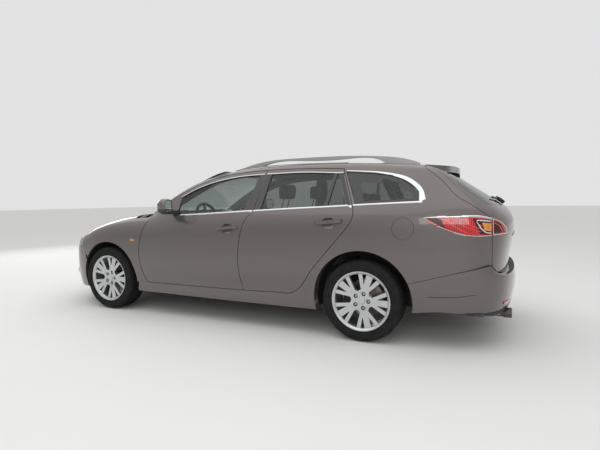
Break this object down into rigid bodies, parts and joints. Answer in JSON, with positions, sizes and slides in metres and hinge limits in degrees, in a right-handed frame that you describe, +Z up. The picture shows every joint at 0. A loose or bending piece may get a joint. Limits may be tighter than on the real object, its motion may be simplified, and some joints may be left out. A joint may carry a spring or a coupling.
{
  "type": "estate car",
  "caption": "Five-door estate car with roof rails, opening doors, bonnet and tailgate, steered front wheels and spoked alloy wheels.",
  "frame": {"origin": "on the ground, under the middle of the car's overall length and width", "axes": "+X forwards, +Y to the car's left, +Z up"},
  "size_m": [4.7693, 2.1206, 1.4903],
  "materials": {
    "body_paint": "brown-grey metallic, gloss",
    "glass": "lightly tinted",
    "tail_lamp": "red lens",
    "headlamp": "clear lens",
    "rail": "satin silver-grey",
    "grille": "black",
    "tyre": "black rubber",
    "rim": "silver",
    "brake": "ground iron",
    "running_gear": "dark",
    "liner": "black",
    "underbody": "dark coating",
    "engine": "grey",
    "radiator": "dark",
    "exhaust": "dull steel",
    "seat_cloth": "dark cloth",
    "dashboard": "dark grain",
    "steering_wheel": "black leather"
  },
  "bodies": {
    "body": {"body_side_left": "body_paint", "body_side_right": "body_paint", "rear_bumper": "body_paint", "front_bumper": "body_paint", "grille": "grille", "headlamps": "headlamp", "wings": "body_paint", "roof": "body_paint", "windscreen": "glass", "quarter_glass": "glass", "roof_rails": "rail", "tail_lamps": "tail_lamp", "front_subframe": "running_gear", "front_arms": "running_gear", "front_struts": "running_gear", "rear_crossmember": "running_gear", "rear_uprights": "running_gear", "arch_liners_front": "liner", "arch_liners_rear": "liner", "floor": "underbody", "bulkhead": "underbody", "front_frame": "underbody", "engine": "engine", "radiator": "radiator", "exhaust": "exhaust", "front_seats": "seat_cloth", "rear_seat": "seat_cloth", "dashboard": "dashboard"},
    "bonnet": {"bonnet": "body_paint"},
    "tailgate": {"tailgate": "body_paint", "tailgate_glass": "glass", "tailgate_lamps": "tail_lamp"},
    "fuel_flap": {"fuel_flap": "body_paint"},
    "steering_wheel": {"steering_wheel": "steering_wheel"},
    "door_front_left": {"door_front_left": "body_paint", "door_glass_front_left": "glass", "mirror_left": "body_paint"},
    "door_front_right": {"door_front_right": "body_paint", "door_glass_front_right": "glass", "mirror_right": "body_paint"},
    "door_rear_left": {"door_rear_left": "body_paint", "door_glass_rear_left": "glass"},
    "door_rear_right": {"door_rear_right": "body_paint", "door_glass_rear_right": "glass"},
    "knuckle_left": {"knuckle_left": "running_gear"},
    "knuckle_right": {"knuckle_right": "running_gear"},
    "wheel_front_left": {"tyre_front_left": "tyre", "rim_front_left": "rim", "brake_disc_front_left": "brake"},
    "wheel_front_right": {"tyre_front_right": "tyre", "rim_front_right": "rim", "brake_disc_front_right": "brake"},
    "wheel_rear_left": {"tyre_rear_left": "tyre", "rim_rear_left": "rim", "brake_disc_rear_left": "brake"},
    "wheel_rear_right": {"tyre_rear_right": "tyre", "rim_rear_right": "rim", "brake_disc_rear_right": "brake"}
  },
  "joints": [
    {"name": "steer_left", "type": "hinge", "parent": "body", "child": "knuckle_left", "pos_m": [1.4425, 0.69, 0.2], "axis": [0, 0, 1], "range_deg": [-33, 33]},
    {"name": "steer_right", "type": "hinge", "parent": "body", "child": "knuckle_right", "pos_m": [1.4425, -0.69, 0.2], "axis": [0, 0, 1], "range_deg": [-33, 33]},
    {"name": "wheel_front_left_spin", "type": "hinge", "parent": "knuckle_left", "child": "wheel_front_left", "pos_m": [1.4425, 0.78, 0.3235], "axis": [0, 1, 0], "continuous": true},
    {"name": "wheel_front_right_spin", "type": "hinge", "parent": "knuckle_right", "child": "wheel_front_right", "pos_m": [1.4425, -0.78, 0.3235], "axis": [0, 1, 0], "continuous": true},
    {"name": "wheel_rear_left_spin", "type": "hinge", "parent": "body", "child": "wheel_rear_left", "pos_m": [-1.2825, 0.78, 0.3235], "axis": [0, 1, 0], "continuous": true},
    {"name": "wheel_rear_right_spin", "type": "hinge", "parent": "body", "child": "wheel_rear_right", "pos_m": [-1.2825, -0.78, 0.3235], "axis": [0, 1, 0], "continuous": true},
    {"name": "steering_wheel_turn", "type": "hinge", "parent": "body", "child": "steering_wheel", "pos_m": [0.545, 0.365, 0.915], "axis": [-0.9222, 0, 0.3867], "range_deg": [-520, 520]},
    {"name": "door_front_left_hinge", "type": "hinge", "parent": "body", "child": "door_front_left", "pos_m": [1.0035, 0.901, 0.5], "axis": [0, 0, -1], "range_deg": [0, 65]},
    {"name": "door_rear_left_hinge", "type": "hinge", "parent": "body", "child": "door_rear_left", "pos_m": [-0.1665, 0.903, 0.5], "axis": [0, 0, -1], "range_deg": [0, 68]},
    {"name": "door_front_right_hinge", "type": "hinge", "parent": "body", "child": "door_front_right", "pos_m": [1.0035, -0.901, 0.5], "axis": [0, 0, 1], "range_deg": [0, 65]},
    {"name": "door_rear_right_hinge", "type": "hinge", "parent": "body", "child": "door_rear_right", "pos_m": [-0.1665, -0.903, 0.5], "axis": [0, 0, 1], "range_deg": [0, 68]},
    {"name": "bonnet_hinge", "type": "hinge", "parent": "body", "child": "bonnet", "pos_m": [1.003, 0, 1.006], "axis": [0, -1, 0], "range_deg": [0, 52]},
    {"name": "tailgate_hinge", "type": "hinge", "parent": "body", "child": "tailgate", "pos_m": [-1.722, 0, 1.412], "axis": [0, 1, 0], "range_deg": [0, 75]},
    {"name": "fuel_flap_hinge", "type": "hinge", "parent": "body", "child": "fuel_flap", "pos_m": [-1.524, 0.9, 0.898], "axis": [0, 0, -1], "range_deg": [0, 95]}
  ],
  "couplings": [
    {"joint": "steer_right", "follows": "steer_left", "ratio": 1},
    {"joint": "steering_wheel_turn", "follows": "steer_left", "ratio": 15.4}
  ]
}
